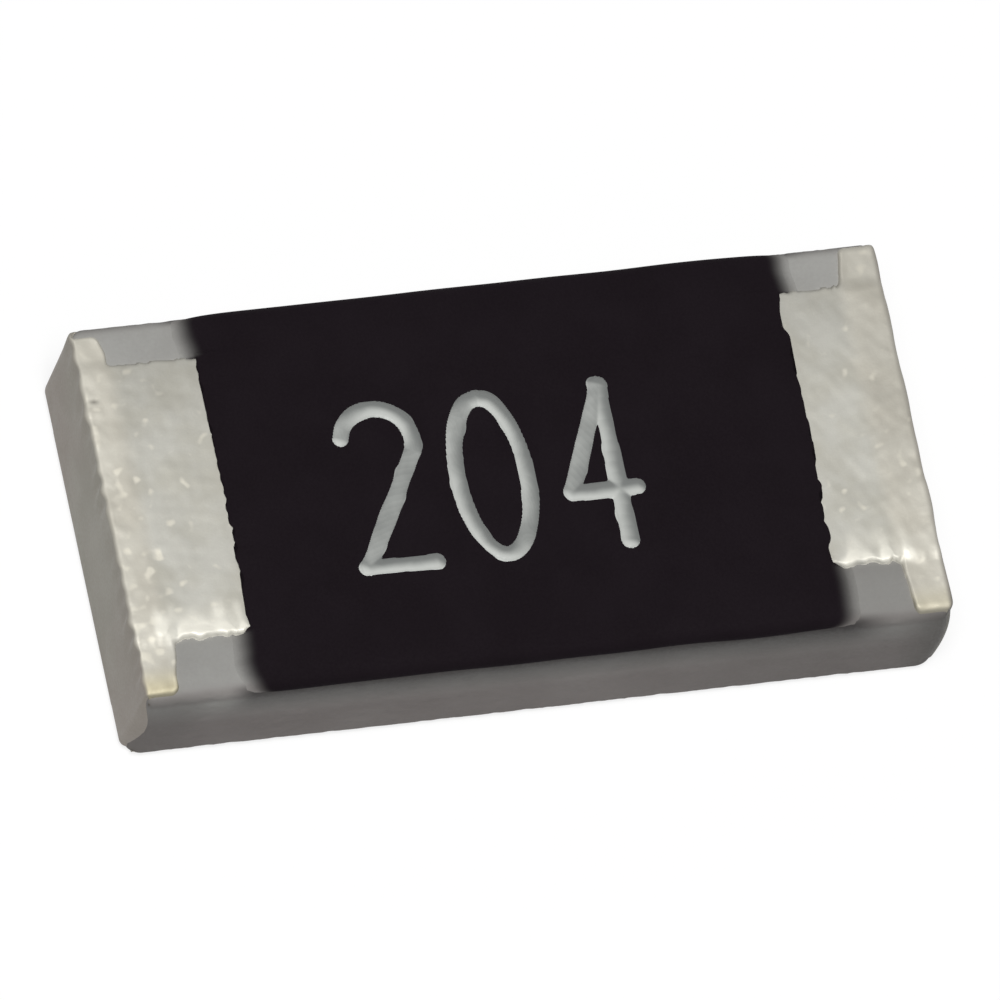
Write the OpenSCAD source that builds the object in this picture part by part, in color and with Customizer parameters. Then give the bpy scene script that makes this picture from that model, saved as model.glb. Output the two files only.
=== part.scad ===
// Thick film chip resistor of the 3.2 x 1.6 mm case, in millimetres.
// X runs along the chip, Y across it from front to back, and Z up.
// The two lower solder lands rest on Z = 0.

/* [Ceramic] */
// Length of the ceramic between its snapped ends
ceramic_length = 3.18; // [2.8:0.01:3.6]
// Width of the ceramic between its long sides
ceramic_width = 1.58; // [1.5:0.01:1.8]
// Thickness of the ceramic
ceramic_thickness = 0.495; // [0.35:0.005:0.65]
// Radius of the upper edges along the long sides
upper_side_radius = 0.048; // [0.03:0.002:0.07]
// Radius of the lower edges along the long sides
lower_side_radius = 0.02; // [0.016:0.002:0.06]
// Radius of the upper edges across the ends
upper_end_radius = 0.012; // [0.006:0.002:0.04]
// Radius of the lower edges across the ends
lower_end_radius = 0.02; // [0.016:0.002:0.06]

/* [Printed electrodes] */
// Thickness of the printed electrodes on both faces
electrode_thickness = 0.009; // [0.006:0.001:0.015]
// Width of the printed electrodes across the chip
electrode_width = 1.14; // [1:0.01:1.25]
// Radius of a printed electrode's corners in plan
electrode_corner = 0.03; // [0.01:0.005:0.06]
// Shift of the upper print towards the back
print_shift = 0.03; // [0:0.005:0.05]
// Flat ceramic left between the rounded end edge and an electrode
electrode_setback = 0.01; // [0.005:0.005:0.03]
// Bare length of the left upper electrode, from the ceramic's end to the overcoat
left_land = 0.445; // [0.3:0.005:0.55]
// Bare length of the right upper electrode, from the ceramic's end to the overcoat
right_land = 0.405; // [0.3:0.005:0.55]
// Length of an upper electrode under the overcoat
electrode_cover = 0.24; // [0.2:0.01:0.35]
// Length of a lower land from the ceramic's end
lower_land = 0.45; // [0.35:0.01:0.6]

/* [Wrap and plating] */
// Thickness of the wrap that joins the upper and lower electrodes
wrap_thickness = 0.004; // [0.003:0.001:0.01]
// Length of the left wrap on the upper face
left_wrap = 0.11; // [0.06:0.01:0.2]
// Length of the right wrap on the upper face
right_wrap = 0.14; // [0.06:0.01:0.2]
// Length of both wraps on the lower face
lower_wrap = 0.26; // [0.15:0.01:0.32]
// Reach of the wrap round the end onto the long sides, and down their rounded edges
side_lip = 0.004; // [0.002:0.001:0.01]
// Thickness that each metal layer adds on the long sides
side_growth = 0.002; // [0.001:0.0005:0.003]
// Thickness of the nickel
nickel_thickness = 0.004; // [0.003:0.001:0.008]
// Thickness of the tin
tin_thickness = 0.006; // [0.004:0.001:0.01]

/* [Resistor] */
// Width of the resistive film
film_width = 0.95; // [0.7:0.01:1.05]
// Thickness of the resistive film
film_thickness = 0.01; // [0.006:0.001:0.015]
// Length of film on each electrode
film_overlap = 0.12; // [0.08:0.01:0.15]
// Glass past the film on every side
glass_margin = 0.04; // [0.02:0.005:0.05]
// Thickness of the glass
glass_thickness = 0.008; // [0.006:0.001:0.012]

/* [Laser cut] */
// Width of the cut
cut_width = 0.05; // [0.02:0.005:0.08]
// Place of the inward cut, to the right of the film's middle
cut_place = 0.3; // [0:0.05:0.5]
// Depth of the inward cut from the film's front edge
cut_depth = 0.42; // [0.2:0.01:0.55]
// Length of the cut that runs along the film
cut_run = 0.5; // [0.2:0.01:0.7]

/* [Overcoat] */
// Height of the overcoat above the glass on the electrodes
overcoat_cover = 0.012; // [0.008:0.001:0.03]
// Thickness of the overcoat's rim on an electrode
overcoat_rim = 0.013; // [0.008:0.001:0.02]
// Length of the slope from the rim to the flat top
overcoat_slope = 0.1; // [0.06:0.01:0.12]
// Radius of the overcoat's corners in plan
overcoat_corner = 0.04; // [0.01:0.005:0.08]
// Distance from the overcoat's rim to each long side
overcoat_gap = 0.003; // [0.002:0.001:0.008]

/* [Hidden] */
$fn = 96;

// The two ends, as signs along X
left = -1;
right = 1;

// Thickness of the whole plating on the wrap and the electrodes
plating_thickness = nickel_thickness + tin_thickness;

// Heights of the ceramic's faces
ceramic_base = electrode_thickness + wrap_thickness + plating_thickness;
ceramic_top = ceramic_base + ceramic_thickness;
ceramic_middle = ceramic_base + ceramic_thickness / 2;

// Heights above the ceramic of the layers that cross the electrodes' inner ends
film_height = film_thickness;
glass_height = film_height + glass_thickness;
overcoat_height = electrode_thickness + glass_height + overcoat_cover;
rim_height = electrode_thickness + overcoat_rim;

// Room that a cutting or limiting block has beyond the chip
allowance = 0.2;

// The values that differ between the two ends
function land(side) = side == left ? left_land : right_land;
function upper_wrap(side) = side == left ? left_wrap : right_wrap;

// Place along X of a point measured inwards from the ceramic's end
function inward(side, distance) = side * (ceramic_length / 2 - distance);

// Place along X where an upper electrode ends under the overcoat
function inner_end(side) = inward(side, land(side) + electrode_cover);

// Outline of a block with two round lower and two round upper corners, standing on Y = 0
module rounded_section(width, height, low_radius, high_radius) {
    half = width / 2;
    polygon([
        [low_radius - half, 0], [half - low_radius, 0],
        [half, low_radius], [half, height - high_radius],
        [half - high_radius, height], [high_radius - half, height],
        [-half, height - high_radius], [-half, low_radius]
    ]);
    for (side = [left, right]) {
        translate([side * (half - low_radius), low_radius])
            circle(low_radius);
        translate([side * (half - high_radius), height - high_radius])
            circle(high_radius);
    }
}

// A flat plate on Z = 0, centred in plan, with round corners
module rounded_plate(length, width, radius, thickness) {
    linear_extrude(thickness)
        translate([0, -width / 2])
            rounded_section(length, width, radius, radius);
}

// An outline in X and Z carried across the chip
module across(width, shift = 0) {
    translate([0, shift, 0])
        rotate([90, 0, 0])
            linear_extrude(width, center = true)
                children();
}

// An outline in Y and Z carried along the chip
module along(length) {
    rotate([90, 0, 90])
        linear_extrude(length, center = true)
            children();
}

// The ceramic's form, grown at the ends and faces and on the long sides
module chip_form(grow = 0, side_grow = 0) {
    length = ceramic_length + 2 * grow;
    width = ceramic_width + 2 * side_grow;
    height = ceramic_thickness + 2 * grow;
    translate([0, 0, ceramic_base - grow])
        intersection() {
            across(width + allowance)
                rounded_section(length, height, lower_end_radius + grow, upper_end_radius + grow);
            along(length + allowance)
                rounded_section(width, height, lower_side_radius + grow, upper_side_radius + grow);
        }
}

// A box over the chip's whole width, from start to finish inwards from the ceramic's end
module end_box(side, start, finish, bottom, top) {
    translate([inward(side, (start + finish) / 2), 0, (bottom + top) / 2])
        cube([finish - start, ceramic_width + allowance, top - bottom], center = true);
}

// An electrode on Z = 0 from start to finish inwards, grown on every side but the lower
module electrode_plate(side, start, finish, grow) {
    translate([inward(side, (start + finish) / 2), 0, 0])
        rounded_plate(
            finish - start + 2 * grow,
            electrode_width + 2 * grow,
            electrode_corner + grow,
            electrode_thickness + grow
        );
}

// An upper electrode, grown on every side but the ceramic's
module upper_electrode_form(side, grow = 0) {
    start = upper_end_radius + electrode_setback;
    translate([0, print_shift, ceramic_top])
        electrode_plate(side, start, land(side) + electrode_cover, grow);
}

// A lower electrode, grown on every side but the ceramic's
module lower_electrode_form(side, grow = 0) {
    start = lower_end_radius + electrode_setback;
    translate([0, 0, ceramic_base])
        mirror([0, 0, 1])
            electrode_plate(side, start, lower_land, grow);
}

// All that lies near one end, with its own reach inwards on the upper and the lower half
module end_zone(side, upper_reach, lower_reach) {
    end_box(side, -allowance, upper_reach, ceramic_middle, ceramic_top + allowance);
    end_box(side, -allowance, lower_reach, ceramic_base - allowance, ceramic_middle);
}

// The long sides past the metal's lip, which stay bare
module side_window(side, lip) {
    end_box(
        side,
        lip,
        lower_wrap + allowance,
        ceramic_base + lip,
        ceramic_top - lip
    );
}

// One end with its wrap and a build of plating, and the ceramic and electrodes inside it
module end_form(side, build, side_build) {
    grow = wrap_thickness + build;
    difference() {
        union() {
            intersection() {
                union() {
                    chip_form(grow, side_build);
                    upper_electrode_form(side, grow);
                    lower_electrode_form(side, grow);
                }
                end_zone(side, upper_wrap(side) + build, lower_wrap + build);
            }
            if (build > 0) {
                intersection() {
                    upper_electrode_form(side, build);
                    end_zone(side, land(side), lower_land);
                }
                lower_electrode_form(side, build);
            }
        }
        side_window(side, side_lip + build);
    }
}

// One end after each of the three metals
module wrapped_end(side) {
    end_form(side, 0, side_growth);
}

module nickelled_end(side) {
    end_form(side, nickel_thickness, 2 * side_growth);
}

module tinned_end(side) {
    end_form(side, plating_thickness, 3 * side_growth);
}

// Outline of a layer that lies on the ceramic between the electrodes and climbs onto both
module bridge_section(overlap, height) {
    step = electrode_thickness;
    start = inner_end(left);
    finish = inner_end(right);
    polygon([
        [start - overlap, 0], [start - overlap, height + step],
        [start + step, height + step], [start + 2 * step, height],
        [finish - 2 * step, height], [finish - step, height + step],
        [finish + overlap, height + step], [finish + overlap, 0]
    ]);
}

// A layer across the electrodes' inner ends, before the laser cut
module bridge(margin, height) {
    translate([0, 0, ceramic_top])
        across(film_width + 2 * margin, print_shift)
            bridge_section(film_overlap + margin, height);
}

// The L-shaped path of the laser through glass and film
module laser_cut() {
    film_front = print_shift - film_width / 2;
    plunge = cut_depth + glass_margin + allowance / 2;
    cut_middle = (inner_end(left) + inner_end(right)) / 2 + cut_place;
    turn = film_front + cut_depth;
    translate([cut_middle - cut_width / 2, turn - plunge, ceramic_top - allowance / 2])
        cube([cut_width, plunge, allowance]);
    translate([cut_middle + cut_width / 2 - cut_run, turn - cut_width, ceramic_top - allowance / 2])
        cube([cut_run, cut_width, allowance]);
}

// Outline of the overcoat's flat top and slopes, which pass through the rim at start and finish
module overcoat_section(start, finish) {
    fall = overcoat_height - rim_height;
    polygon([
        [start - overcoat_slope, -upper_side_radius], [start - overcoat_slope, rim_height - fall],
        [start + overcoat_slope, overcoat_height], [finish - overcoat_slope, overcoat_height],
        [finish + overcoat_slope, rim_height - fall], [finish + overcoat_slope, -upper_side_radius]
    ]);
}

// The overcoat's outer form, reaching below the ceramic's rounded edges
module overcoat_form() {
    start = inward(left, left_land);
    finish = inward(right, right_land);
    half_width = ceramic_width / 2 - overcoat_gap;
    height = upper_side_radius + overcoat_height;
    translate([0, 0, ceramic_top])
        intersection() {
            across(ceramic_width + allowance)
                overcoat_section(start, finish);
            along(ceramic_length + allowance)
                overcoat_section(-half_width, half_width);
            translate([(start + finish) / 2, 0, -upper_side_radius])
                rounded_plate(finish - start, 2 * half_width, overcoat_corner, height);
        }
}

module ceramic_substrate() {
    color("#a3a19f")
        chip_form();
}

module top_electrode(side) {
    color("#cfcdc6")
        upper_electrode_form(side);
}

module bottom_electrode(side) {
    color("#cfcdc6")
        lower_electrode_form(side);
}

module resistor_film() {
    color("#3a3632")
        difference() {
            bridge(0, film_height);
            top_electrode(left);
            top_electrode(right);
            laser_cut();
        }
}

module glass_coat() {
    color("#5c6f5a")
        difference() {
            bridge(glass_margin, glass_height);
            bridge(0, film_height);
            top_electrode(left);
            top_electrode(right);
            laser_cut();
        }
}

module overcoat() {
    color("#1d181c")
        difference() {
            overcoat_form();
            chip_form();
            top_electrode(left);
            top_electrode(right);
            resistor_film();
            glass_coat();
        }
}

module edge_electrode(side) {
    color("#c4c0b4")
        difference() {
            wrapped_end(side);
            chip_form();
            top_electrode(side);
            bottom_electrode(side);
        }
}

module nickel_barrier(side) {
    color("#b3ab98")
        difference() {
            nickelled_end(side);
            wrapped_end(side);
            chip_form();
            top_electrode(side);
            bottom_electrode(side);
        }
}

module tin_plating(side) {
    color("#b9b6aa")
        difference() {
            tinned_end(side);
            nickelled_end(side);
            chip_form();
        }
}

ceramic_substrate();
top_electrode(left);  // top_electrode_left
top_electrode(right);  // top_electrode_right
bottom_electrode(left);  // bottom_electrode_left
bottom_electrode(right);  // bottom_electrode_right
resistor_film();
glass_coat();
overcoat();
edge_electrode(left);  // edge_electrode_left
edge_electrode(right);  // edge_electrode_right
nickel_barrier(left);  // nickel_barrier_left
nickel_barrier(right);  // nickel_barrier_right
tin_plating(left);  // tin_plating_left
tin_plating(right);  // tin_plating_right
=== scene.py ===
"""Looks of a thick film chip resistor: ceramic, black overcoat, printed value code and tinned ends."""
import math

import bpy
import numpy as np
from mathutils import Matrix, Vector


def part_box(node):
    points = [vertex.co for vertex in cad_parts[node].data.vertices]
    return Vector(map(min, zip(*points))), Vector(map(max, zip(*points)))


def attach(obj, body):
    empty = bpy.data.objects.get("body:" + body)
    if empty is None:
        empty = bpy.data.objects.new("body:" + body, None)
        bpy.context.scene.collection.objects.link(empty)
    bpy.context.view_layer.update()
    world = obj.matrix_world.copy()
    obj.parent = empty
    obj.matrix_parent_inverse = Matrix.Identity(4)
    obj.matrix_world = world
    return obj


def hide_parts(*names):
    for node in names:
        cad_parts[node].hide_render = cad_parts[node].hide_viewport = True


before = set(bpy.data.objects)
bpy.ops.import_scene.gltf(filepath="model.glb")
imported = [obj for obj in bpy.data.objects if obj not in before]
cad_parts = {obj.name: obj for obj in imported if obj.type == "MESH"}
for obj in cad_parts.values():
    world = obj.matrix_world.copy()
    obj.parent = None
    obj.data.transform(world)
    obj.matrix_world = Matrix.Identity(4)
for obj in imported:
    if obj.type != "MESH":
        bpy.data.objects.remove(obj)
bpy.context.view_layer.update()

# Millimetres, in which every shape below is worked out
MM = 0.001

LEFT = -1
RIGHT = 1
NAMES = {LEFT: "left", RIGHT: "right"}


def corners(node):
    """Lowest and highest corner of a CAD node in millimetres."""
    low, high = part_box(node)
    return np.array(low) / MM, np.array(high) / MM


chip_low, chip_high = corners("ceramic_substrate")
coat_low, coat_high = corners("overcoat")
pad_low, pad_high = corners("top_electrode_left")
under_high = corners("bottom_electrode_left")[1]
tin_high = corners("tin_plating_left")[1]

# The ceramic's rounded edges, along the long sides and across the ends
UPPER_SIDE = 0.048
LOWER_SIDE = 0.02
UPPER_END = 0.012
LOWER_END = 0.02

# Radius of the chip's upright edges, its growth towards the floor on the front ones, and how much larger it
# is at the back left
UPRIGHT = 0.033
GROWTH = 0.035
BACK_LEFT = 0.02

# How far the left end leans in, and how far the burr near the front of the right end stands out. The burr is
# an arch about a height, with half its span
LEAN = 0.012
BURR = 0.03
BURR_HEIGHT = 0.19
BURR_SPAN = 0.27

# Thickness of the printed electrodes, and of the whole plating on them
PRINT = 0.009
PLATING = 0.01

# Each metal's build on the ceramic's ends and on the prints, and its distance inside the tin's outline
BUILDS = {"wrap": (0.004, 0, 0.01), "nickel": (0.008, 0.004, 0.006), "tin": (0.014, 0.01, 0)}

# Reach of the tinned bands and of the open lands from the ceramic's ends, on the upper and on the lower face.
# On the lands the coat's edge lies a little inside the solid's box, by the distance cleared
BAND = {LEFT: 0.12, RIGHT: 0.15}
LOWER_BAND = 0.27
CLEARED = {LEFT: 0.016, RIGHT: 0.004}
LAND = {
    LEFT: coat_low[0] - chip_low[0] + CLEARED[LEFT],
    RIGHT: chip_high[0] - coat_high[0] + CLEARED[RIGHT],
}
LOWER_LAND = tin_high[0] - chip_low[0]

# Where the bands stop on the upper face, before its front and back edge
BAND_FRONT = {LEFT: 0.768, RIGHT: 0.774}
BAND_BACK = {LEFT: 0.74, RIGHT: 0.772}

# Where the metals stop before the front edge of the ends, with the arch that the left one adds about a
# height, with half its span, and where they stop under the chip
END_FRONT = {LEFT: 0.757, RIGHT: 0.764}
ARCH = {LEFT: 0.032, RIGHT: 0}
ARCH_HEIGHT = 0.3
ARCH_SPAN = 0.23
UNDER_FRONT = 0.775

# Fillet between a band and its land, radius of a band's corners, and the place, widths and depth of a pit in
# the left band, inwards from the end and along Y
FILLET = {LEFT: 0.01, RIGHT: 0.018}
BAND_CORNER = 0.03
PIT_PLACE = (0.036, 0.464)
PIT_WIDTH = (0.017, 0.009)
PIT_DEPTH = 0.0035

# Height of the overcoat's flat top above the ceramic, its reach from the chip's middle over the long edges,
# its corner radius, how far it bleeds out in the front and back notches, and the width over which it fades
COAT_RISE = coat_high[2] - chip_high[2]
COAT_RUN = chip_high[1] - UPPER_SIDE + 0.056
COAT_CORNER = 0.06
BLEED = {LEFT: (0.09, 0.072), RIGHT: (0.084, 0.093)}
FADE = 0.112

# Half width and height of the code's strokes, the softness of their joins and the step of their mesh
STROKE = 0.0315
STROKE_RISE = 0.0075
STROKE_JOIN = 0.005
STROKE_STEP = 0.0042


def ease(value, start, finish):
    """Rise from 0 at start to 1 at finish with level ends: 3 t t - 2 t t t."""
    t = np.clip((value - start) / (finish - start), 0, 1)
    return t * t * (3 - 2 * t)


def hump(value, middle, width):
    """Bell of height 1 about a middle: e to the minus square of the distance over the width."""
    return np.exp(-(((value - middle) / width) ** 2))


def lumps(seed, size, *places, waves=18):
    """Seeded unevenness of unit strength: a sum of cosine waves in random directions through the places,
    with lengths about the given size in millimetres."""
    chance = np.random.default_rng(seed)
    total = 0.0
    for _ in range(waves):
        direction = chance.normal(size=len(places))
        direction /= np.linalg.norm(direction)
        length = size * chance.uniform(0.7, 1.5)
        phase = chance.uniform(0, 2 * math.pi)
        run = sum(share * place for share, place in zip(direction, places))
        total = total + np.cos(2 * math.pi * run / length + phase)
    return total * math.sqrt(2 / waves)


def stations(*stops):
    """Places from stop to stop: each pair after the first gives the next stop and the step up to it."""
    runs = [np.array([stops[0]])]
    start = stops[0]
    for finish, step in stops[1:]:
        count = max(2, int(round(abs(finish - start) / step)) + 1)
        runs.append(np.linspace(start, finish, count)[1:])
        start = finish
    return np.concatenate(runs)


def ring_faces(rows, columns):
    """Faces of closed rings of points, ring after ring, with one face over each end."""
    row = np.arange(rows - 1)[:, None] * columns
    column = np.arange(columns)[None, :]
    following = (column + 1) % columns
    quads = [row + column, row + following, row + columns + following, row + columns + column]
    faces = np.stack(quads, -1).reshape(-1, 4).tolist()
    first = list(range(columns))
    last = list(range((rows - 1) * columns, rows * columns))
    return faces + [first[::-1], last]


def turned_out(points, faces):
    """The faces, all reversed if the volume that they close comes out negative."""
    quads = np.array([face for face in faces if len(face) == 4])
    a, b, c, d = (points[quads[:, k]] for k in range(4))
    volume = np.einsum("ij,ij->", a, np.cross(b, c)) + np.einsum("ij,ij->", a, np.cross(c, d))
    return faces if volume > 0 else [face[::-1] for face in faces]


def make_piece(name, rings, finish, nodes=(), marks=None):
    """A closed piece from rings of points in millimetres, at the origin, riding on the part.
    Marks are named values at the points, for the finish to read."""
    rows, columns, _ = rings.shape
    points = rings.reshape(-1, 3)
    faces = turned_out(points, ring_faces(rows, columns))
    mesh = bpy.data.meshes.new(name)
    mesh.from_pydata((points * MM).tolist(), [], faces)
    for mark, values in (marks or {}).items():
        layer = mesh.attributes.new(mark, "FLOAT", "POINT")
        layer.data.foreach_set("value", np.broadcast_to(values, (rows, columns)).ravel().astype(np.float32))
    mesh.shade_smooth()
    mesh.materials.append(finish)
    piece = bpy.data.objects.new(name, mesh)
    bpy.context.scene.collection.objects.link(piece)
    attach(piece, "root")
    if nodes:
        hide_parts(*nodes)


def ceramic_rings():
    """The ceramic: a section in Y and Z with four round corners, carried along X. Towards the ends its
    upper and lower limits and its sides follow quarter circles. The long sides are uneven by about
    2 micrometres. Marks give painted shade on the long sides and along their upper edges, a darkening
    just below the coat on the long sides, and painted shade in the front notches and at the sides' ends."""
    half = chip_high[1]
    low = chip_low[2]
    high = chip_high[2]
    turn = np.linspace(0, math.pi / 2, 13)[:-1]
    floor_run = np.linspace(LOWER_SIDE - half, half - LOWER_SIDE, 41)[:-1]
    side_run = np.linspace(low + LOWER_SIDE, high - UPPER_SIDE, 31)[:-1]
    roof_run = np.linspace(half - UPPER_SIDE, UPPER_SIDE - half, 61)[:-1]
    y = np.concatenate([
        floor_run, half - LOWER_SIDE + LOWER_SIDE * np.sin(turn), np.full(30, half),
        half - UPPER_SIDE + UPPER_SIDE * np.cos(turn), roof_run,
        UPPER_SIDE - half - UPPER_SIDE * np.sin(turn), np.full(30, -half),
        LOWER_SIDE - half - LOWER_SIDE * np.cos(turn),
    ])
    z = np.concatenate([
        np.full(40, low), low + LOWER_SIDE - LOWER_SIDE * np.cos(turn), side_run,
        high - UPPER_SIDE + UPPER_SIDE * np.sin(turn), np.full(60, high),
        high - UPPER_SIDE + UPPER_SIDE * np.cos(turn), side_run[::-1] + side_run[1] - side_run[0],
        low + LOWER_SIDE - LOWER_SIDE * np.sin(turn),
    ])
    end = chip_high[0]
    x = stations(-end, (-end + 0.036, 0.002), (-end + 0.1, 0.008), (end - 0.1, 0.013),
                 (end - 0.036, 0.008), (end, 0.002))[:, None]
    depth = end - np.abs(x)
    share = (z - low) / (high - low)
    height = z - quarter(depth, UPPER_END) * share + quarter(depth, LOWER_END) * (1 - share)
    flank = ease(np.abs(y), half - 0.048, half - 0.004)
    rough = 0.0012 * lumps(11, 0.16, x, 1.4 * z) + 0.0007 * lumps(12, 0.05, x, 1.2 * z)
    narrowed = quarter(depth, upright(np.sign(x), y, height)) * (np.abs(y) / half) ** 8
    width = y - np.sign(y) * (flank * ease(depth, 0.05, 0.15) * np.abs(rough) + narrowed)
    place = x + stand_out(RIGHT, height, width) * ease(x, end - 0.12, end)
    place = place - stand_out(LEFT, height, width) * ease(-x, end - 0.12, end)
    under_coat = ease(x, coat_low[0] - 0.13, coat_low[0]) * ease(-x, -coat_high[0] - 0.2, -coat_high[0])
    # Darker just below the coat on the long sides: strongest near the top, fading out 0.21 mm lower
    dark_below_coat = flank * under_coat * np.clip(0.9 - (high - 0.029 - height) / 0.21, 0, 0.9)
    marks = {"snapped": snapped(y, height), "dark_below_coat": dark_below_coat, "painted_shade": painted_shade(x, y)}
    return np.stack(np.broadcast_arrays(place, width, height), -1), marks


def quarter(depth, radius):
    """Distance from a face to a quarter circle that rounds its edge, at a depth from the other face."""
    return radius - np.sqrt(radius**2 - np.clip(radius - depth, 0, radius) ** 2)


def upright(side, y, height):
    """Radius of the upright edges: larger near the floor on the front ones, where the chip was broken off,
    and larger all the way at the back left."""
    drop = np.clip((chip_high[2] - height) / (chip_high[2] - chip_low[2]), 0, 1)
    return UPRIGHT + GROWTH * drop * (y < 0) + BACK_LEFT * (y > 0) * (np.asarray(side) < 0)


def stand_out(side, height, y):
    """How far an end stands out of its plane. The left end leans in towards the top. The right end bears a
    burr near the front, a low arch in height. Both have slightly wavy upper edges, the left one more so."""
    share = np.clip((height - chip_low[2]) / (chip_high[2] - chip_low[2]), 0, 1)
    wave = 0.0022 * lumps(31 + side, 0.3, y) * ease(share, 0.5, 1)
    if side == LEFT:
        wave = wave + 0.0028 * lumps(35, 0.1, y) * ease(share, 0.7, 1)
        return wave + LEAN * (0.17 - share)
    return wave + BURR * np.clip(1 - ((height - BURR_HEIGHT) / BURR_SPAN) ** 2, 0, 1) * ease(-y, 0.2, 0.65)


def snapped(y, height):
    """Painted shade on the ceramic's long sides: full low on them, less above, and again along their
    upper edges, more in front."""
    margin = chip_high[1] - np.abs(y)
    # Painted shade: low on the long sides, and along their upper edges
    side_shade_low = ease(-margin, -0.048, -0.02) * ease(chip_high[2] - height, 0.03, 0.29)
    edge_shade = np.where(y < 0, 0.7, 0.35) * hump(margin, 0.012, 0.028)
    edge_shade = edge_shade * ease(height, chip_high[2] - 0.09, chip_high[2] - 0.05)
    return np.maximum(side_shade_low, edge_shade)


def painted_shade(x, y):
    """Painted shade on the ceramic: in the front notches, most beside the lands and at the right, and
    towards both ends of the long sides, more at the right."""
    on_side = ease(np.abs(y), chip_high[1] - 0.03, chip_high[1])
    in_front = ease(-y, 0.5, 0.56)
    beside = np.exp(-np.clip(pad_low[1] - y, 0, None) / 0.09)
    in_notch = in_front * (0.08 + 0.22 * ease(x, 0, 0.5) + 0.3 * beside)
    at_ends = 0.3 * ease(x, 0.2, 1.1) + 0.6 * ease(x, 1.4, 1.58) + 0.4 * ease(-x, 1.27, 1.45)
    return in_notch * (1 - on_side) + on_side * at_ends


def end_path(side):
    """Stations of the path over one end, on the ceramic: along the upper face to the end, over a quarter
    circle, down the end, over a second quarter circle and back along the lower face. Gives distance
    inwards, height and the outward normal's two parts."""
    band = BAND[side]
    top = stations(LAND[side] + 0.035, (LAND[side] - 0.01, 0.005), (band + 0.05, 0.007),
                   (band - 0.055, 0.003), (UPPER_END, 0.006))
    over = np.linspace(0, math.pi / 2, 10)[1:]
    down = stations(chip_high[2] - UPPER_END, (chip_low[2] + LOWER_END, 0.012))[1:]
    under = np.linspace(math.pi / 2, math.pi, 10)[1:]
    back = stations(LOWER_END, (LOWER_BAND - 0.02, 0.015), (LOWER_BAND + 0.02, 0.004),
                    (LOWER_LAND - 0.02, 0.015), (LOWER_LAND + 0.004, 0.002))[1:]
    inwards = np.concatenate([
        top, UPPER_END - UPPER_END * np.sin(over), np.zeros(down.size),
        LOWER_END - LOWER_END * np.sin(under), back,
    ])
    height = np.concatenate([
        np.full(top.size, chip_high[2]), chip_high[2] - UPPER_END + UPPER_END * np.cos(over), down,
        chip_low[2] + LOWER_END + LOWER_END * np.cos(under), np.full(back.size, chip_low[2]),
    ])
    angle = np.concatenate([np.zeros(top.size), over, np.full(down.size, math.pi / 2), under,
                            np.full(back.size, math.pi)])
    return [part[:, None] for part in (inwards, height, np.sin(angle), np.cos(angle))]


def joined(first, second, fillet):
    """The greater of two distances, with a soft fillet where they are alike."""
    return fillet * np.logaddexp(first / fillet, second / fillet)


def rounded(first, second, radius):
    """Distance inside two limits at once, up to the radius that rounds their corner."""
    return radius - np.hypot(np.clip(radius - first, 0, None), np.clip(radius - second, 0, None))


def band_reach(side, y):
    """Reach of a tinned band from its end: wider in front on the left, and drawn in at its tips."""
    drawn_in = {LEFT: 0.022, RIGHT: 0.009}[side] * ease(-y, 0.58, 0.77) + 0.014 * ease(y, 0.62, 0.77)
    wider = 0.029 * ease(-y, 0.15, 0.5) * (side == LEFT)
    return BAND[side] + wider - drawn_in + 0.002 * lumps(42 if side == LEFT else 62, 0.12, y)


def metal_stand(side, layer, path, y):
    """Height of a metal's outer face over the ceramic, along the path over one end and across it. The metal
    fills an outline: a band with the narrower printed land on the faces, and the full width on the end, with
    an arched front limit on the left one. Its edge is a quarter circle, outside which the face dips steeply
    under the ceramic. Gives the distance inside the outline too."""
    inwards, height, _, up = path
    end_build, print_build, inset = BUILDS[layer]
    roof = np.clip(up, 0, 1) ** 2
    floor = np.clip(-up, 0, 1) ** 2
    seed = 40 if side == LEFT else 60
    ripple = 0.0035 * lumps(seed, 0.1, inwards) + 0.002 * lumps(seed + 1, 0.04, inwards)
    reach = band_reach(side, y)
    between = np.minimum(BAND_FRONT[side] + y, BAND_BACK[side] - y)
    in_band = rounded(reach - inwards, rounded(between, inwards + 0.015, BAND_CORNER), BAND_CORNER)
    on_print = np.minimum(y - pad_low[1] + PLATING + ripple, pad_high[1] + PLATING - y + 0.6 * ripple[::-1])
    under_corner = quarter(inwards, upright(side, y, chip_low[2]))
    under_band = np.minimum(LOWER_BAND - inwards, UNDER_FRONT - np.abs(y) - under_corner)
    under_print = np.minimum(under_high[1] + PLATING - np.abs(y), LOWER_LAND - inwards)
    arch = np.clip(1 - ((height - ARCH_HEIGHT) / ARCH_SPAN) ** 2, 0, 1)
    end_front = END_FRONT[side] + ARCH[side] * arch
    over_end = np.minimum(chip_high[1] - 0.001 - y, end_front + y)
    upper = in_band if layer == "wrap" else joined(in_band, on_print, FILLET[side])
    lower = under_band if layer == "wrap" else joined(under_band, under_print, FILLET[side])
    inside = roof * upper + floor * lower + (1 - roof - floor) * over_end - inset
    plated = PRINT + print_build
    both = PRINT + end_build
    raised = ease(on_print, -0.03, 0.04)
    on_roof = end_build + raised * (both - end_build)
    on_roof = on_roof + ease(inwards, reach - 0.04, reach + 0.03) * (plated - on_roof)
    on_floor = end_build + ease(under_print, 0, PLATING) * (both - end_build)
    on_floor = on_floor + ease(inwards, LOWER_BAND - 0.02, LOWER_BAND + 0.02) * (plated - on_floor)
    build = roof * on_roof + floor * on_floor + (1 - roof - floor) * end_build
    bend = 0.9 * build + 0.02 * (1 - roof) * ease(-y, 0.4, 0.6)
    rise = build * np.sqrt(1 - (1 - np.clip(inside / bend, 0, 1)) ** 2)
    dip = 0.004 + 0.012 * ease(np.abs(y), 0.7, 0.76)
    return rise + np.clip(3 * inside, -dip, 0), inside


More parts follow.
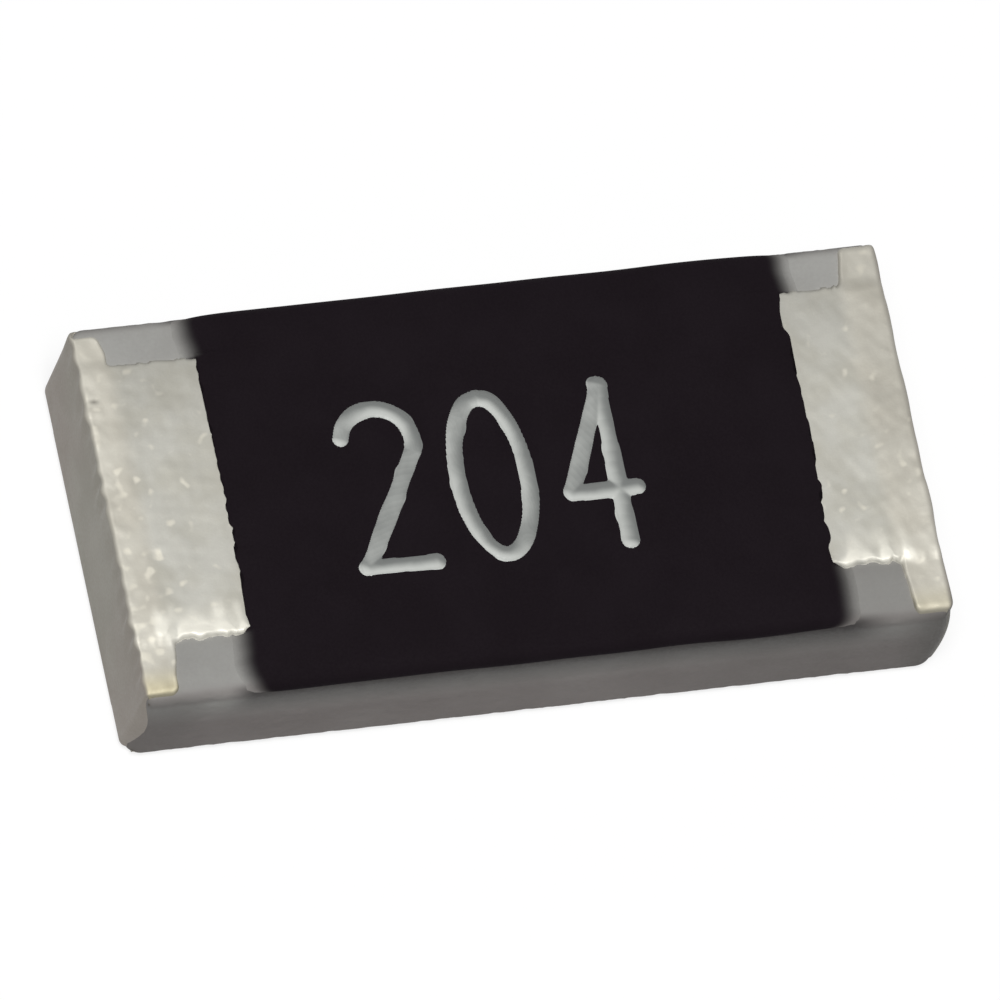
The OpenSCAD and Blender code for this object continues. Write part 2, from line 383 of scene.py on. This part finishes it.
def end_columns():
    """Places across the chip, closer together at the lands' edges and at the bands' tips."""
    half = chip_high[1] - 0.0005
    return stations(-half, (-0.72, 0.0035), (-0.58, 0.006), (-0.5, 0.0035), (0.56, 0.0065), (0.63, 0.0045),
                    (0.7, 0.007), (half, 0.0035))[None, :]


def metal_rings(side, layer):
    """One metal on one end: its outer face carried over the end, closed by the outer face of the metal
    beneath. The tin bears soft lumps, a row of beads along the land's front edge, a fuller outer rim and, on
    the left, a pit. Marks tell the painted highlight on the front edge, painted glints as specks, dark places
    of painted shade and darker backs of the lands, the band's front tip, the land and the end face, which
    takes painted shade."""
    path = end_path(side)
    inwards, height, out, up = path
    roof = np.clip(up, 0, 1) ** 2
    floor = np.clip(-up, 0, 1) ** 2
    end = 1 - roof - floor
    seed = 70 if side == LEFT else 90
    y = end_columns()
    y = y - np.sign(y) * 0.006 * (1 - end) * ease(np.abs(y), 0.772, 0.789)
    stand, inside = metal_stand(side, layer, path, y)
    x_mm = side * (chip_high[0] - inwards)
    open_land = ease(LAND[side] - inwards, -0.004, 0.05)
    beads = np.clip(0.8 + 0.4 * lumps(seed, 0.085, x_mm, 0.6 * y), 0.25, 1.4)
    # Beads along the land's front edge: raised as relief, and the same mark paints a highlight on them
    ridge_and_highlight = roof * open_land * beads * hump(y, pad_low[1] + 0.006, 0.03)
    off_band = 1 - 0.6 * ease(BAND[side] - inwards, 0.01, 0.06)
    ridge_and_highlight = ridge_and_highlight * off_band
    # Painted highlight in a broader band behind the front edge
    shine = roof * open_land * off_band * (0.5 + 0.4 * beads) * hump(y, pad_low[1] + 0.065, 0.08)
    pit = roof * hump(inwards, PIT_PLACE[0], PIT_WIDTH[0]) * hump(y, PIT_PLACE[1], PIT_WIDTH[1])
    pit = pit * (side == LEFT)
    if layer == "tin":
        grain = 0.0009 * lumps(seed + 1, 0.17, x_mm, y) + 0.0003 * lumps(seed + 2, 0.06, x_mm, y)
        rim = hump(inwards, 0.012, 0.04) * np.clip(0.4 + 0.6 * lumps(seed + 3, 0.07, x_mm, y), 0, 1.4)
        relief = roof * open_land * (grain + 0.0014 * rim) + 0.0035 * ridge_and_highlight
        relief = relief + 0.5 * floor * np.minimum(grain, 0)
        stand = stand + relief * ease(inside, 0.002, 0.014) - PIT_DEPTH * pit

    beneath = {"tin": "nickel", "nickel": "wrap"}.get(layer)
    under_y = y[:, ::-4]
    under = stand[:, ::-4] - 0.0005
    floor_of_layer = metal_stand(side, beneath, path, under_y)[0] if beneath else -0.004
    under = np.minimum(under, floor_of_layer)

    def placed(columns, rise):
        """Points at a rise over the ceramic, whose faces drop towards the long edges."""
        share = np.clip((height - chip_low[2]) / (chip_high[2] - chip_low[2]), 0, 1)
        margin = chip_high[1] - np.abs(columns)
        level = height - share * quarter(margin, UPPER_SIDE) + (1 - share) * quarter(margin, LOWER_SIDE)
        turned = quarter(margin, upright(side, columns, height))
        x = side * (chip_high[0] - inwards + out * (rise - turned + stand_out(side, height, columns)))
        return np.stack(np.broadcast_arrays(x, columns, level + up * rise), -1)

    blank = np.zeros(under.shape)
    tip = roof * ease(-y, BAND_FRONT[side] - 0.13, BAND_FRONT[side] - 0.015)
    tip = tip * (1 if side == LEFT else 0.5)
    # Painted shade at the brink where the band's front tip dips under the ceramic
    brink = roof * ease(-inside, -0.009, -0.002) * ease(-y, 0.7, 0.74)
    land = roof * ease(inwards, BAND[side] - 0.03, BAND[side] + 0.05)
    on_band = {LEFT: 0, RIGHT: 0.25}[side] * (1 - land) * ease(y, -0.5, 0.1)
    at_back = (1 - end) * (on_band + 0.34 * land * ease(y, 0.1, 0.75))
    # Painted shade on the right end's front edge, at the brinks and in the pit; the backs of the lands, and
    # of the right band, are darker too
    dark = end * ease(-y, 0.66, 0.74) * (side == RIGHT) + at_back + 0.55 * brink + 0.75 * pit
    # Painted glints: pale specks, most near the ends' upper edges
    glint_speck = roof * hump(inwards, 0.08, 0.14) * (0.45 + 0.55 * ease(-y, -0.3, 0.1) if side == LEFT else 0.4)
    shades = {
        "ridge_and_highlight": np.clip(ridge_and_highlight * 1.1 + 0.6 * shine, 0, 1) * (1 if side == LEFT else 0.75),
        "dark": np.clip(dark, 0, 1),
        "glint_speck": glint_speck,
        "tip": tip,
        "land": land,
        "end_face": np.clip(1.5 * end, 0, 1),
    }
    marks = {name: np.concatenate([shade + 0 * stand, blank], 1) for name, shade in shades.items()}
    return np.concatenate([placed(y, stand), placed(under_y, under)], 1), marks


def over_edge(run, rise):
    """A point on the coated face: run is the distance from the chip's middle along the ceramic's surface,
    over its round long edges and down its sides, and rise the height above it. Gives Y and Z."""
    flat = chip_high[1] - UPPER_SIDE
    past = np.clip(np.abs(run) - flat - UPPER_SIDE * math.pi / 2, 0, None)
    angle = np.clip((np.abs(run) - flat) / UPPER_SIDE, 0, math.pi / 2)
    y = np.minimum(np.abs(run), flat) + (UPPER_SIDE + rise) * np.sin(angle)
    z = chip_high[2] - UPPER_SIDE + (UPPER_SIDE + rise) * np.cos(angle) - past
    return np.sign(run) * y, z


def coat_rise(x, run, edges):
    """Thickness of the overcoat: level in the middle, thin at the long edges, a film that fades out in the
    notches, where its edge sinks under the ceramic, and a blunt rim where it laps onto the tinned lands. Each
    rises as 1 minus e to the minus distance."""
    left_edge, right_edge, left_land, right_land = edges
    near = np.clip(np.minimum(x - left_edge, right_edge - x), 0, None)
    past = np.minimum(x - left_land, right_land - x)
    lap = 0.64 + 0.36 * (1 - np.exp(-np.clip(past, 0, None) / 0.06))
    lap = lap * ease(past, -0.008, 0.002) * beside_land(run, 0.035, 0.012)
    bare = 0.02 + 0.98 * (1 - np.exp(-np.clip(near - 0.045, 0, None) / 0.07))
    thinnest = np.where(run > 0, 0.14, 0.05)
    over = thinnest + (1 - thinnest) * (1 - np.exp(-np.clip(COAT_RUN - np.abs(run), 0, None) / 0.07))
    sunk = 0.0016 * (1 - ease(near, 0, 0.025)) * (1 - over_land(run))
    return COAT_RISE * np.maximum(lap, bare) * over - sunk


def beside_land(run, start, finish):
    """Rise from 0 to 1 across the tinned lands' edges, between two distances outside the prints."""
    front = ease(run, pad_low[1] - start, pad_low[1] - finish)
    return front * ease(-run, -pad_high[1] - start, -finish - pad_high[1])


def over_land(run):
    """1 where the overcoat crosses the tinned lands, and 0 in the notches beside them."""
    return beside_land(run, -0.01, -0.1)


def bleed(side, run):
    """How far the thinning coat spreads out in the notches: least at the back left."""
    front, back = BLEED[side]
    return front + (back - front) * ease(run, -0.2, 0.2)


def coat_outline(run):
    """The overcoat's left and right edges for each distance from the chip's middle: wavy on the lands,
    bled further out and smoother in the notches, and turned in along a quarter circle at the corners. The
    same edges without the bleeding follow."""
    on_pad = over_land(run)
    turn_in = quarter(COAT_RUN - np.abs(run), COAT_CORNER)
    edges = []
    lands = []
    for side in (LEFT, RIGHT):
        seed = 80 if side == LEFT else 90
        limit = LAND[side]
        if side == RIGHT:
            limit = limit + 0.011 * ease(-run, 0.05, 0.45) - 0.008 * hump(run, 0.1, 0.2)
        else:
            limit = limit - 0.011 * ease(-run, 0.25, 0.45)
        ripple = 0.0055 * lumps(seed, 0.22, run) + 0.0032 * lumps(seed + 1, 0.08, run) * (0.2 + 0.8 * on_pad)
        land = side * (chip_high[0] - limit) + ripple
        lands.append(land)
        edges.append(land + side * (bleed(side, run) * (1 - on_pad) - turn_in))
    return edges + lands


def coat_rings():
    """The overcoat: a sheet carried over the chip's upper face and its round long edges, from one wavy
    edge to the other, closed by an under side just inside the ceramic. A mark tells where it is thin enough
    to let the ceramic through, and two more carry the ceramic's own painted shade."""
    share = np.sin(np.linspace(-math.pi / 2, math.pi / 2, 301)) * 0.25
    share = share + 0.75 * np.linspace(-1, 1, 301)
    run = (share * COAT_RUN)[None, :]
    edges = coat_outline(run)
    left_edge, right_edge = edges[:2]
    along = stations(0, (0.05, 0.0016), (0.1, 0.005), (0.9, 0.012), (0.95, 0.005), (1, 0.0016))[:, None]
    x = left_edge + (right_edge - left_edge) * along
    sway = 1 + 0.003 * lumps(85, 0.6, x) * ease(np.abs(run), 0.7, COAT_RUN)
    rise = coat_rise(x, run, edges)
    rise = rise + 0.0004 * lumps(86, 0.12, x, run) * ease(rise, 0.02, 0.035)
    y, z = over_edge(run * sway, rise)
    outer = np.stack([x, y, z], -1)
    under_run = np.linspace(COAT_RUN, -COAT_RUN, 41)[None, :]
    under_left, under_right = coat_outline(under_run)[:2]
    under_x = under_left + (under_right - under_left) * along
    under_y, under_z = over_edge(under_run, -0.002)
    inner = np.stack(np.broadcast_arrays(under_x, under_y, under_z), -1)
    near = np.clip(np.minimum(x - left_edge, right_edge - x) / FADE, 0, 1)
    faded = (1 - near**2) ** 3.3
    thin = faded * (1 - beside_land(run, 0.016, -0.002))
    shades = {"thin": thin, "snapped": snapped(y, z), "painted_shade": painted_shade(x, y)}
    marks = {name: np.concatenate([shade, np.zeros(inner.shape[:2])], 1) for name, shade in shades.items()}
    return np.concatenate([outer, inner], 1), marks


def smooth_path(points, step):
    """An even path through points: a cubic through each pair, with the slope of its neighbours."""
    points = np.array(points, float)
    ends = np.concatenate([2 * points[:1] - points[1:2], points, 2 * points[-1:] - points[-2:-1]])
    t = np.linspace(0, 1, 40, endpoint=False)[:, None]
    pieces = []
    for a, b, c, d in zip(ends[:-3], ends[1:-2], ends[2:-1], ends[3:]):
        pieces.append(b + 0.5 * t * (c - a + t * (2 * a - 5 * b + 4 * c - d + t * (3 * (b - c) + d - a))))
    line = np.concatenate(pieces + [points[-1:]])
    reach = np.concatenate([[0], np.cumsum(np.linalg.norm(np.diff(line, axis=0), axis=1))])
    even = np.linspace(0, reach[-1], max(12, int(reach[-1] / step)))
    return np.stack([np.interp(even, reach, line[:, k]) for k in range(2)], -1)


def arc(middle, across, rise, start, finish):
    """Points along an ellipse about a middle, from one angle to another in degrees."""
    angle = np.radians(np.linspace(start, finish, max(5, int(abs(finish - start) / 18))))
    return [(middle[0] + across * math.cos(a), middle[1] + rise * math.sin(a)) for a in angle]


def digit_rings(strokes, seed):
    """One digit of ink: a sheet over the coat whose height depends on the distance to the digit's strokes.
    Each stroke is a low dome, and the sheet dips under the coat outside. A mark tells how far a point
    lies towards a stroke's front left side, facing the lamp, where a painted highlight makes the ink paler."""
    lines = [smooth_path(points, 0.002) for points in strokes]
    low = np.min([line.min(0) for line in lines], 0) - 0.05
    high = np.max([line.max(0) for line in lines], 0) + 0.05
    x = np.arange(low[0], high[0], STROKE_STEP)[:, None]
    y = np.arange(low[1], high[1], STROKE_STEP)[None, :]
    nearness = 0.0
    lit_side = 0.0
    for line in lines:
        gap = np.hypot(x[..., None] - line[:, 0], y[..., None] - line[:, 1])
        nearest = line[gap.argmin(-1)]
        weight = np.exp(-gap.min(-1) / STROKE_JOIN)
        nearness = nearness + weight
        lit_side = lit_side - weight * (0.5 * (x - nearest[..., 0]) + 0.87 * (y - nearest[..., 1]))
    distance = -STROKE_JOIN * np.log(nearness)
    half = STROKE * (1 + 0.08 * lumps(seed, 0.4, x, y))
    share = np.clip(distance / half, 0, None)
    dome = np.sqrt(np.clip(1 - share**2, 0, 1))
    rise = STROKE_RISE * dome - 0.1 * np.clip(distance - half, 0, 0.03)
    base = chip_high[2] + COAT_RISE - 0.0002
    outer = np.stack(np.broadcast_arrays(x, y, base + rise), -1)
    under = outer[:, ::-12].copy()
    under[..., 2] = base - 0.008
    pale = np.clip(0.5 + 0.5 * lit_side / nearness / STROKE, 0, 1)
    marks = {"pale": np.concatenate([pale, np.zeros(under.shape[:2])], 1)}
    return np.concatenate([outer, under], 1), marks


class Wire:
    """One output in a finish's node tree. Arithmetic on it adds Math nodes to the same tree."""

    def __init__(self, tree, output=None):
        self.tree = tree
        self.output = output

    def node(self, kind, settings, sockets, out=0):
        """Add a node: its settings first, then each socket's value or link. Gives one of its outputs."""
        made = self.tree.nodes.new("ShaderNode" + kind)
        for name, value in settings.items():
            setattr(made, name, value)
        for name, value in sockets.items():
            if isinstance(value, Wire):
                self.tree.links.new(value.output, made.inputs[name])
            else:
                made.inputs[name].default_value = value
        return Wire(self.tree, made.outputs[out] if made.outputs else None)

    def math(self, operation, first, second):
        return self.node("Math", {"operation": operation}, {0: first, 1: second})

    def __add__(self, other):
        return self.math("ADD", self, other)

    def __radd__(self, other):
        return self.math("ADD", other, self)

    def __sub__(self, other):
        return self.math("SUBTRACT", self, other)

    def __mul__(self, other):
        return self.math("MULTIPLY", self, other)


def start_finish(name):
    """A new material with an empty node tree, and the wire that its first nodes come from."""
    material = bpy.data.materials.new(name)
    material.use_nodes = True
    material.node_tree.nodes.clear()
    return material, Wire(material.node_tree)


def places(wire):
    """Object coordinates in millimetres."""
    metres = wire.node("TexCoord", {}, {}, 3)
    return wire.node("VectorMath", {"operation": "SCALE"}, {0: metres, "Scale": 1 / MM})


def noise(spot, per_mm, detail=2.0, rough=0.5):
    """Seeded noise from 0 to 1 with the given number of lumps to the millimetre."""
    return spot.node("TexNoise", {}, {"Vector": spot, "Scale": per_mm, "Detail": detail, "Roughness": rough})


def step(value, start, finish, low=0.0, high=1.0):
    """A smooth change from low to high while the value goes from start to finish."""
    settings = {"interpolation_type": "SMOOTHSTEP"}
    sockets = {"Value": value, "From Min": start, "From Max": finish, "To Min": low, "To Max": high}
    return value.node("MapRange", settings, sockets)


def blend(share, first, second):
    """One colour turned into another by a share from 0 to 1."""
    colours = [colour if isinstance(colour, Wire) else (*colour, 1) for colour in (first, second)]
    return share.node("Mix", {"data_type": "RGBA"}, {0: share, 6: colours[0], 7: colours[1]}, 2)


def mark(wire, name):
    """A named value at the mesh's points."""
    return wire.node("Attribute", {"attribute_name": name}, {}, 2)


def bump(height, depth):
    """Normals of a relief whose height from 0 to 1 stands for a depth in millimetres."""
    return height.node("Bump", {}, {"Height": height, "Distance": depth * MM, "Strength": 1.0})


def close_finish(wire, sockets):
    """The surface shader and the output of a finish."""
    shader = wire.node("BsdfPrincipled", {}, sockets)
    wire.node("OutputMaterial", {}, {"Surface": shader})


def ceramic_tone(wire, spot, grain):
    """Colour of fired alumina: pale grey with fine grain and faint clouds, darker and warmer on the long
    sides as painted shade, and darker still as painted shade in the front notches and towards the sides'
    ends."""
    clouds = noise(spot, 3.5, 3.0)
    tone = step(clouds * 0.7 + grain * 0.3, 0.3, 0.7)
    base = blend(tone, (0.305, 0.3, 0.285), (0.365, 0.362, 0.345))
    # Painted shade: the darker, warmer tone of the long sides and their upper edges
    side_shade_tone = blend(tone, (0.208, 0.188, 0.18), (0.243, 0.223, 0.214))
    colour = blend(mark(wire, "snapped"), base, side_shade_tone)
    # Painted shade in the front notches and towards the ends of the long sides
    return blend(mark(wire, "painted_shade"), colour, (0.12, 0.114, 0.107))


def fired_ceramic():
    """Fired alumina, darker just below the coat along the upper parts of its long sides."""
    material, wire = start_finish("fired_alumina")
    spot = places(wire)
    grain = noise(spot, 70, 2.0, 0.6)
    tone = ceramic_tone(wire, spot, grain)
    close_finish(wire, {
        "Base Color": blend(mark(wire, "dark_below_coat") * 0.95, tone, (0.012, 0.01, 0.011)),
        "Roughness": step(grain, 0.3, 0.7, 0.6, 0.78),
        "Specular IOR Level": 0.25,
        "Normal": bump(grain, 0.0004),
    })
    return material


def plated_tin():
    """Matt plated tin: grey lands and cream bands, softly clouded, with painted glints as pale specks and a
    painted highlight on the lumpy front edge. The bands' front tips are yellower, the end faces darker and
    even as painted shade, and some places darker still, by painted shade and on the backs of the lands."""
    material, wire = start_finish("plated_matte_tin")
    spot = places(wire)
    clouds = noise(spot, 6, 3.0)
    glint_flecks = noise(spot, 20, 0.4)
    grain = noise(spot, 80, 2.0, 0.6)
    land = mark(wire, "land")
    end_face = mark(wire, "end_face")
    cloudy = step(clouds, 0.33, 0.67)
    band_tone = blend(cloudy, (0.45, 0.428, 0.368), (0.522, 0.502, 0.44))
    land_tone = blend(cloudy, (0.4, 0.388, 0.338), (0.458, 0.45, 0.407))
    tone = blend(land, band_tone, land_tone)
    # Painted glints as pale cream specks
    pale = step(glint_flecks + mark(wire, "glint_speck") * 0.15, 0.69, 0.88)
    tone = blend(pale * 0.85, tone, (0.66, 0.63, 0.54))
    tone = blend(mark(wire, "tip") * 0.8, tone, (0.47, 0.42, 0.27))
    # Painted highlight: pale cream on the lands' front edges
    tone = blend(step(mark(wire, "ridge_and_highlight") + grain * 0.15, 0.15, 0.95), tone, (0.745, 0.725, 0.645))
    # Painted shade: the end faces take a darker, even tone
    stretches = step(noise(spot, 1.6, 2.0), 0.35, 0.65)
    end_shade_tone = blend(stretches, (0.277, 0.247, 0.216), (0.29, 0.275, 0.236))
    tone = blend(end_face, tone, end_shade_tone)
    close_finish(wire, {
        # Painted shade and darker backs of the lands, from the dark mark
        "Base Color": blend(mark(wire, "dark") * 0.88, tone, (0.1, 0.093, 0.078)),
        "Metallic": 0.4,
        "Roughness": step(clouds * 0.5 + grain * 0.5, 0.35, 0.65, 0.5, 0.64),
        "Normal": bump(grain, 0.0004),
    })
    return material


def cured_overcoat():
    """Cured black overcoat: matt, very finely grained, and fading where it thins out on the ceramic."""
    material, wire = start_finish("cured_black_overcoat")
    spot = places(wire)
    clouds = noise(spot, 4, 2.0)
    grain = noise(spot, 110, 2.0, 0.6)
    black = blend(step(clouds, 0.3, 0.7), (0.0085, 0.0058, 0.0078), (0.01, 0.007, 0.0093))
    # The ceramic's tone beneath carries its painted shade too
    beneath = ceramic_tone(wire, spot, noise(spot, 70, 2.0, 0.6))
    close_finish(wire, {
        "Base Color": blend(mark(wire, "thin"), black, beneath),
        "Roughness": step(grain, 0.3, 0.7, 0.72, 0.86),
        "Specular IOR Level": 0.05,
        "Normal": bump(grain, 0.0003),
    })
    return material


def code_ink():
    """Grey printing ink, with a painted highlight that makes the front left side of each stroke paler."""
    material, wire = start_finish("grey_code_ink")
    spot = places(wire)
    clouds = noise(spot, 9, 2.0)
    grain = noise(spot, 80, 2.0)
    # Painted highlight on the strokes' front left sides
    shade = step(mark(wire, "pale") + clouds * 0.3 - 0.15, 0.3, 0.8)
    close_finish(wire, {
        "Base Color": blend(shade, (0.175, 0.183, 0.177), (0.5, 0.515, 0.49)),
        "Roughness": step(grain, 0.3, 0.7, 0.42, 0.55),
        "Specular IOR Level": 0.4,
        "Normal": bump(grain, 0.0003),
    })
    return material


def inner_finish(name, dark, light, metal, rough, per_mm):
    """A layer under the coat or the tin: two tones of one colour in fine clouds, with a matching relief."""
    material, wire = start_finish(name)
    clouds = noise(places(wire), per_mm, 3.0)
    close_finish(wire, {
        "Base Color": blend(step(clouds, 0.35, 0.65), dark, light),
        "Metallic": metal,
        "Roughness": step(clouds, 0.35, 0.65, rough - 0.06, rough + 0.06),
        "Normal": bump(clouds, 0.0008),
    })
    return material


# The ceramic, the three metals of each end and the overcoat
wrap = inner_finish("edge_wrap_metal", (0.5, 0.48, 0.43), (0.6, 0.58, 0.53), 0.9, 0.5, 30)
nickel = inner_finish("nickel_barrier_plate", (0.4, 0.36, 0.29), (0.48, 0.44, 0.36), 1.0, 0.35, 25)
metals = {
    "wrap": ("edge_wrap", "edge_electrode", wrap, "edge_metal"),
    "nickel": ("nickel_plate", "nickel_barrier", nickel, "nickel"),
    "tin": ("tinned_end", "tin_plating", plated_tin(), "matte_tin"),
}
rings, marks = ceramic_rings()
make_piece("ceramic_chip", rings, fired_ceramic(), ["ceramic_substrate"], marks)
for side in (LEFT, RIGHT):
    for layer, (title, node, finish, slot) in metals.items():
        rings, marks = metal_rings(side, layer)
        make_piece(f"{title}_{NAMES[side]}", rings, finish, [f"{node}_{NAMES[side]}"], marks)
rings, marks = coat_rings()
make_piece("black_coat", rings, cured_overcoat(), ["overcoat"], marks)

# A generic value code of three digits, each of strokes, and each stroke a path in X and Y
ink = code_ink()
digits = {
    "two": [
        arc((-0.503, 0.16), 0.14, 0.14, 168, -38) + [(-0.5, -0.12), (-0.635, -0.35)],
        [(-0.635, -0.352), (-0.55, -0.354), (-0.45, -0.356), (-0.368, -0.354)],
    ],
    "zero": [
        arc((-0.083, -0.029), 0.135, 0.328, 90, 450),
    ],
    "four": [
        [(0.4, 0.295), (0.36, 0.2), (0.29, 0.045), (0.212, -0.13)],
        [(0.212, -0.14), (0.3, -0.142), (0.4, -0.142), (0.47, -0.14)],
        [(0.4, 0.297), (0.4, 0.1), (0.399, -0.13), (0.397, -0.357)],
    ],
}
for index, (name, strokes) in enumerate(digits.items()):
    rings, marks = digit_rings(strokes, 120 + 3 * index)
    make_piece(f"code_{name}", rings, ink, (), marks)

# The layers inside
silver = inner_finish("fired_silver_print", (0.58, 0.57, 0.54), (0.7, 0.69, 0.66), 0.8, 0.5, 30)
film = inner_finish("resistive_film_print", (0.012, 0.011, 0.01), (0.02, 0.018, 0.016), 0.0, 0.5, 40)
glass = inner_finish("fired_glass_coat", (0.03, 0.045, 0.03), (0.045, 0.06, 0.042), 0.0, 0.2, 20)
inner = {"resistor_film": film, "glass_coat": glass}
for name in NAMES.values():
    inner[f"top_electrode_{name}"] = silver
    inner[f"bottom_electrode_{name}"] = silver
for name, material in inner.items():
    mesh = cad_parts[name].data
    mesh.materials.clear()
    mesh.materials.append(material)


# Strength of the surroundings as light on the part, where their own white is 1
SKY_LIGHT = 0.15


def seen_rays(wire):
    """1 for rays from the camera, and for those that mirrors and glass send on."""
    light_path = [wire.node("LightPath", {}, {}, out) for out in ("Is Camera Ray", "Is Glossy Ray")]
    through = wire.node("LightPath", {}, {}, "Is Transmission Ray")
    return wire.math("MAXIMUM", wire.math("MAXIMUM", *light_path), through)


def pale_floor():
    """A plain pale floor, whiter to the camera and in reflections, with the part's soft shadow on it."""
    material, wire = start_finish("pale_floor")
    seen = seen_rays(wire)
    matt = wire.node("BsdfDiffuse", {}, {"Color": blend(seen, (0.5, 0.5, 0.5), (0.97, 0.97, 0.97))})
    glow = wire.node("Emission", {}, {"Color": (1, 1, 1, 1), "Strength": 1.03})
    surface = wire.node("MixShader", {}, {0: seen * 0.75, 1: matt, 2: glow})
    wire.node("OutputMaterial", {}, {"Surface": surface})
    return material


def stage():
    """The floor under the part, white surroundings that light it only dimly, and one soft lamp."""
    mesh = bpy.data.meshes.new("floor")
    reach = 0.6
    level = -0.002 * MM
    square = [(-reach, -reach, level), (reach, -reach, level), (reach, reach, level), (-reach, reach, level)]
    mesh.from_pydata(square, [], [(0, 1, 2, 3)])
    mesh.materials.append(pale_floor())
    floor = bpy.data.objects.new("floor", mesh)
    bpy.context.scene.collection.objects.link(floor)

    world = bpy.data.worlds.new("white_studio")
    world.use_nodes = True
    world.node_tree.nodes.clear()
    wire = Wire(world.node_tree)
    seen = seen_rays(wire)
    sky = wire.node("Background", {}, {"Color": (1, 1, 1, 1), "Strength": SKY_LIGHT + seen * (1 - SKY_LIGHT)})
    wire.node("OutputWorld", {}, {"Surface": sky})
    bpy.context.scene.world = world

    soft_lamp("key_lamp", azimuth=-33, elevation=75, distance=0.3, size=0.12, power=0.78)


def soft_lamp(name, azimuth, elevation, distance, size, power):
    """A square lamp that faces the part from a direction, at a distance in metres."""
    lamp = bpy.data.lights.new(name, "AREA")
    lamp.shape = "SQUARE"
    lamp.size = size
    lamp.energy = power
    holder = bpy.data.objects.new(name, lamp)
    holder.matrix_world = looking(azimuth, elevation, 0, distance / MM, np.zeros(3))
    bpy.context.scene.collection.objects.link(holder)


def looking(azimuth, elevation, roll, distance, target):
    """Placing of a camera or lamp that looks at a target in millimetres from an azimuth, which is 0 in
    front and turns towards the right, and an elevation. Roll turns it about its own line of sight."""
    a, e, r = np.radians([azimuth, elevation, roll])
    back = np.array([math.cos(e) * math.sin(a), -math.cos(e) * math.cos(a), math.sin(e)])
    level = np.cross([0, 0, 1], back)
    level /= np.linalg.norm(level)
    rise = np.cross(back, level)
    right = math.cos(r) * level + math.sin(r) * rise
    up = np.cross(back, right)
    place = (np.array(target) + distance * back) * MM
    placing = np.eye(4)
    placing[:3] = np.stack([right, up, back, place], 1)
    return Matrix(placing.tolist())


def photo_camera():
    """The camera at the photograph's viewing angle, a long lens 143.5 mm away."""
    lens = bpy.data.cameras.new("photo_camera")
    lens.sensor_width = 36
    lens.lens = 1351.44
    lens.clip_start = 0.001
    lens.clip_end = 10
    camera = bpy.data.objects.new("photo_camera", lens)
    target = (0.0036, -0.0117, 0.2716)
    camera.matrix_world = looking(
        azimuth=-32.7106, elevation=63.1172, roll=23.4849, distance=143.5103, target=target
    )
    bpy.context.scene.collection.objects.link(camera)
    bpy.context.scene.camera = camera


stage()
photo_camera()
bpy.context.scene.view_settings.view_transform = "Standard"
